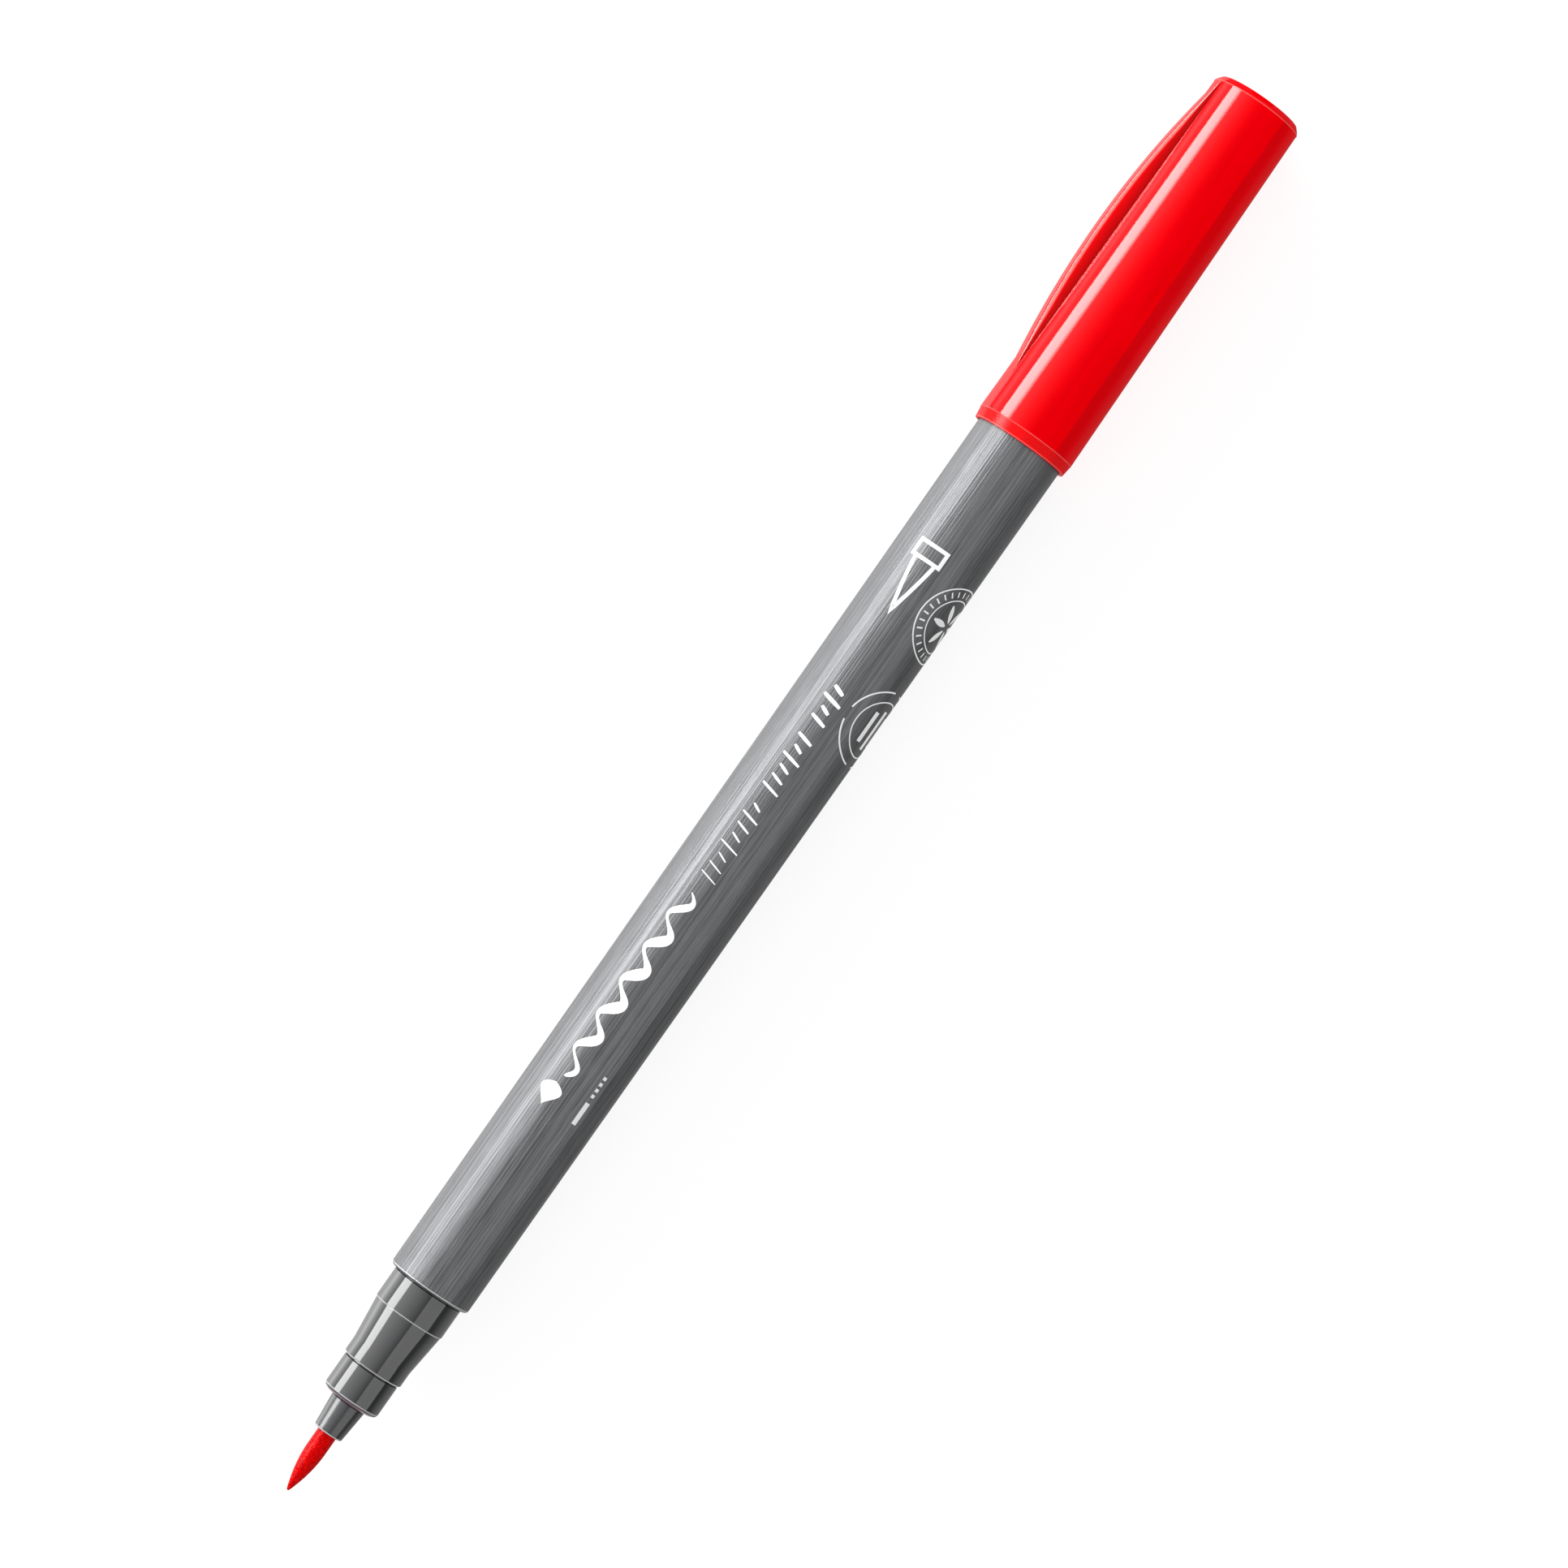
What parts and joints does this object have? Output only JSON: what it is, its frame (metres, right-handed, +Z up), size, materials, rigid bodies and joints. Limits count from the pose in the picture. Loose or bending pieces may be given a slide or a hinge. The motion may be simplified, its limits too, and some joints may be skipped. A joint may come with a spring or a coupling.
{
  "type": "brush pen",
  "caption": "Brush pen with a bending fibre nib, stepped front section, slim tapered barrel and a clip cap posted on its rear.",
  "frame": {"origin": "on the pen's axis, in the plane of the barrel's front shoulder, where the cap seat begins", "axes": "+X along the axis from the nib to the cap, +Y towards the cap's clip, +Z up as the pen lies"},
  "size_m": [0.1593, 0.0111, 0.0102],
  "materials": {
    "nib_fibre": "ink-soaked moulded fibre",
    "satin_grey": "satin",
    "gloss_grey": "gloss",
    "brushed_grey": "satin with fine lengthwise brushing and white print",
    "reservoir_fibre": "ink-soaked fibre",
    "clear_film": "thin film",
    "plug_red": "satin",
    "cap_red": "gloss, with a satin lip band",
    "liner_white": "satin"
  },
  "bodies": {
    "pen": {"nib_shaft": "nib_fibre", "nib_holder": "satin_grey", "front_section": "gloss_grey", "barrel": "brushed_grey", "ink_reservoir": "reservoir_fibre", "reservoir_wrap": "clear_film", "end_plug": "plug_red"},
    "nib": {"brush_tip": "nib_fibre"},
    "cap_carrier": {"cap_liner": "liner_white"},
    "cap": {"cap_shell": "cap_red"}
  },
  "joints": [
    {"name": "nib_bend", "type": "hinge", "parent": "pen", "child": "nib", "pos_m": [-0.01705, 0, 0], "axis": [0, 0, 1], "range_deg": [-15, 15], "stiffness_Nm_per_rad": 0.005},
    {"name": "cap_slide", "type": "slide", "parent": "pen", "child": "cap_carrier", "axis": [1, 0, 0], "range_m": [0, 0.03]},
    {"name": "cap_turn", "type": "hinge", "parent": "cap_carrier", "child": "cap", "pos_m": [0.0966, 0, 0], "axis": [1, 0, 0], "continuous": true}
  ]
}
